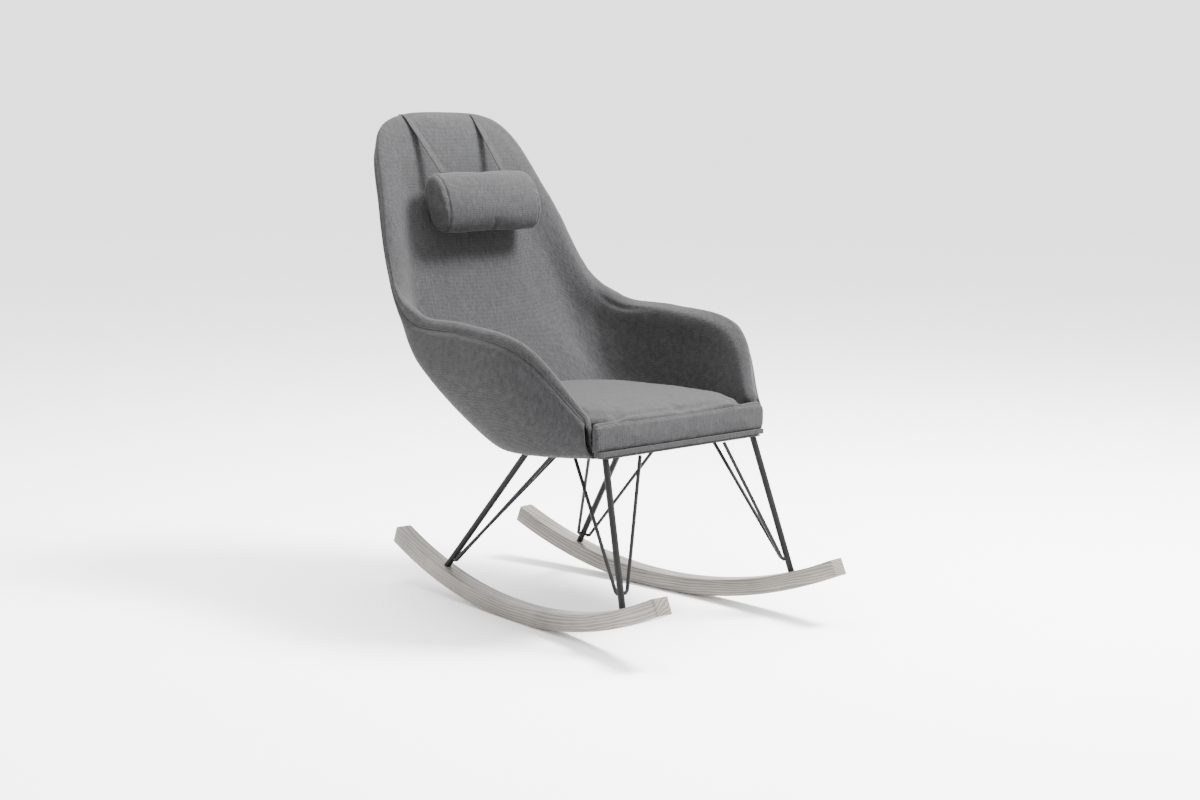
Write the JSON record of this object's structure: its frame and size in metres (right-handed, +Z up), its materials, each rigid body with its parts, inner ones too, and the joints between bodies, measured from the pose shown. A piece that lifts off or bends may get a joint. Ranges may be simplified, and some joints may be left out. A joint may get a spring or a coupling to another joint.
{
  "type": "rocking chair",
  "caption": "Upholstered bucket rocking chair with low arms, a sliding headrest on straps, braced black steel legs and curved wooden rockers.",
  "frame": {"origin": "on the floor, below the middle of the whole chair's box", "axes": "+Z up, +Y to the back of the chair, +X to the sitter's left; the sitter faces -Y"},
  "size_m": [0.6686, 1.0722, 1.0709],
  "materials": {
    "ash_wood": "clear satin lacquer over pale ash, grain along the rocker",
    "black_powder_coat": "matt black powder coat",
    "zinc_plated_steel": "bright zinc plate",
    "dust_cloth": "black non-woven cloth",
    "birch_plywood": "raw plywood",
    "moulded_foam": "moulded polyurethane foam",
    "outer_cover_fabric": "dark grey plain weave",
    "woven_fabric": "grey marled plain weave"
  },
  "bodies": {
    "chair": {"rocker_left": "ash_wood", "rocker_right": "ash_wood", "foot_boss_rear_left": "zinc_plated_steel", "foot_screw_rear_left": "zinc_plated_steel", "leg_bar_rear_left": "black_powder_coat", "brace_side_rear_left": "black_powder_coat", "brace_cross_rear_left": "black_powder_coat", "frame_bolt_rear_left": "zinc_plated_steel", "foot_boss_rear_right": "zinc_plated_steel", "foot_screw_rear_right": "zinc_plated_steel", "leg_bar_rear_right": "black_powder_coat", "brace_side_rear_right": "black_powder_coat", "brace_cross_rear_right": "black_powder_coat", "frame_bolt_rear_right": "zinc_plated_steel", "foot_boss_front_left": "zinc_plated_steel", "foot_screw_front_left": "zinc_plated_steel", "leg_bar_front_left": "black_powder_coat", "brace_side_front_left": "black_powder_coat", "brace_cross_front_left": "black_powder_coat", "frame_bolt_front_left": "zinc_plated_steel", "foot_boss_front_right": "zinc_plated_steel", "foot_screw_front_right": "zinc_plated_steel", "leg_bar_front_right": "black_powder_coat", "brace_side_front_right": "black_powder_coat", "brace_cross_front_right": "black_powder_coat", "frame_bolt_front_right": "zinc_plated_steel", "front_rail": "black_powder_coat", "rear_rail": "black_powder_coat", "side_rail_left": "black_powder_coat", "side_rail_right": "black_powder_coat", "dust_panel": "dust_cloth", "seat_board": "birch_plywood", "shell_core": "moulded_foam", "outer_cover": "outer_cover_fabric", "inner_cover": "woven_fabric", "seat_cushion": "woven_fabric", "front_band": "woven_fabric", "strap_left": "woven_fabric", "strap_right": "woven_fabric"},
    "headrest": {"headrest_cushion": "woven_fabric"},
    "counterweight": {"counterweight_bag": "woven_fabric"}
  },
  "joints": [
    {"name": "headrest_slide", "type": "slide", "parent": "chair", "child": "headrest", "axis": [0, 0.379, 0.9254], "range_m": [-0.07, 0.05], "deforming": ["strap_left", "strap_right"]},
    {"name": "counterweight_slide", "type": "slide", "parent": "chair", "child": "counterweight", "axis": [0, 0.351, 0.9364], "range_m": [-0.05, 0.07]}
  ],
  "couplings": [
    {"joint": "counterweight_slide", "follows": "headrest_slide", "ratio": -1}
  ]
}
